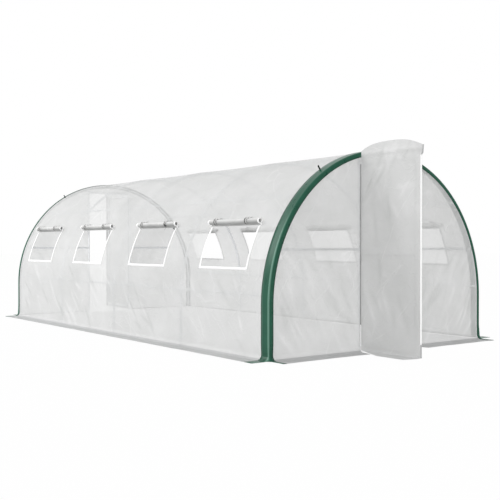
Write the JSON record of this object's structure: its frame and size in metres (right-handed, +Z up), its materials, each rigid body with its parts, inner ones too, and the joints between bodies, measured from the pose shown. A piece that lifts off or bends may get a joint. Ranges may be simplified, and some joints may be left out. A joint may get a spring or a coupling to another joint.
{
  "type": "polytunnel greenhouse",
  "caption": "Walk-in tunnel greenhouse with bent steel hoops under a translucent woven cover, roll-up side windows, a ground skirt and a hinged door in each end.",
  "frame": {"origin": "on the ground under the middle of the ridge", "axes": "+X to the right seen from the front, +Y along the ridge towards the rear, +Z up"},
  "size_m": [3.4, 7.592, 2.062],
  "materials": {
    "galvanised_steel": "satin",
    "clear_woven_cover": "satin",
    "green_trim": "satin",
    "white_binding": "matte",
    "rolled_flap": "matte",
    "dark_webbing": "matte"
  },
  "bodies": {
    "tunnel": {"hoop_front": "galvanised_steel", "hoop_second": "galvanised_steel", "hoop_middle": "galvanised_steel", "hoop_fourth": "galvanised_steel", "hoop_rear": "galvanised_steel", "ridge_purlin": "galvanised_steel", "purlins_left": "galvanised_steel", "purlins_right": "galvanised_steel", "front_door_posts": "galvanised_steel", "front_end_rails": "galvanised_steel", "rear_door_posts": "galvanised_steel", "rear_end_rails": "galvanised_steel", "purlin_fittings": "galvanised_steel", "lower_wall_left": "clear_woven_cover", "lower_wall_right": "clear_woven_cover", "window_band_left": "clear_woven_cover", "window_band_right": "clear_woven_cover", "roof_left_lower": "clear_woven_cover", "roof_left_upper": "clear_woven_cover", "roof_right_lower": "clear_woven_cover", "roof_right_upper": "clear_woven_cover", "front_wall_left": "clear_woven_cover", "front_wall_right": "clear_woven_cover", "front_wall_top": "clear_woven_cover", "rear_wall_left": "clear_woven_cover", "rear_wall_right": "clear_woven_cover", "rear_wall_top": "clear_woven_cover", "skirt_left": "clear_woven_cover", "skirt_right": "clear_woven_cover", "front_skirts": "clear_woven_cover", "rear_skirts": "clear_woven_cover", "front_trim": "green_trim", "rear_trim": "green_trim", "window_bindings_left": "white_binding", "window_bindings_right": "white_binding", "window_rolls_left": "rolled_flap", "window_rolls_right": "rolled_flap", "roll_ties_left": "white_binding", "roll_ties_right": "white_binding", "guy_loops": "dark_webbing"},
    "front_door": {"front_door_frame": "galvanised_steel", "front_door_sheet": "clear_woven_cover"},
    "rear_door": {"rear_door_frame": "galvanised_steel", "rear_door_sheet": "clear_woven_cover"}
  },
  "joints": [
    {"name": "front_door_hinge", "type": "hinge", "parent": "tunnel", "child": "front_door", "pos_m": [-0.352, -3.016, 0.91], "axis": [0, 0, 1], "range_deg": [-70, 90]},
    {"name": "rear_door_hinge", "type": "hinge", "parent": "tunnel", "child": "rear_door", "pos_m": [0.352, 3.016, 0.91], "axis": [0, 0, 1], "range_deg": [-70, 90]}
  ]
}
